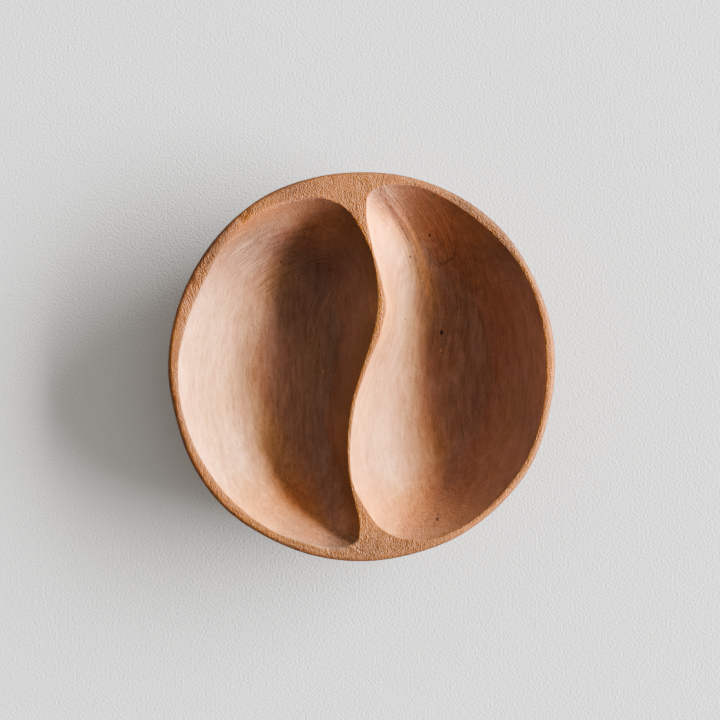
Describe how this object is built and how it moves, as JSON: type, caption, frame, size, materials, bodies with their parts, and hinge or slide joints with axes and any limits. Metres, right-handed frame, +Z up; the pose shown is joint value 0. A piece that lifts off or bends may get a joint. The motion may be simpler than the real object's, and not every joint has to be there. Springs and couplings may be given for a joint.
{
  "type": "divided serving bowl",
  "caption": "Round hand-carved wooden serving bowl, parted by an S-shaped divider into side-by-side hollows, with a flat foot.",
  "frame": {"origin": "middle of the foot's resting face: the bounding box's bottom centre", "axes": "+Z up out of the hollows, +Y towards the back of the bowl along the divider (up in the picture), +X to the right"},
  "size_m": [0.1598, 0.1608, 0.04],
  "materials": {
    "oiled_wood": "hand-carved and scraped reddish-brown hardwood, lightly oiled to a satin sheen"
  },
  "bodies": {
    "root": {"bowl": "oiled_wood"}
  },
  "joints": []
}
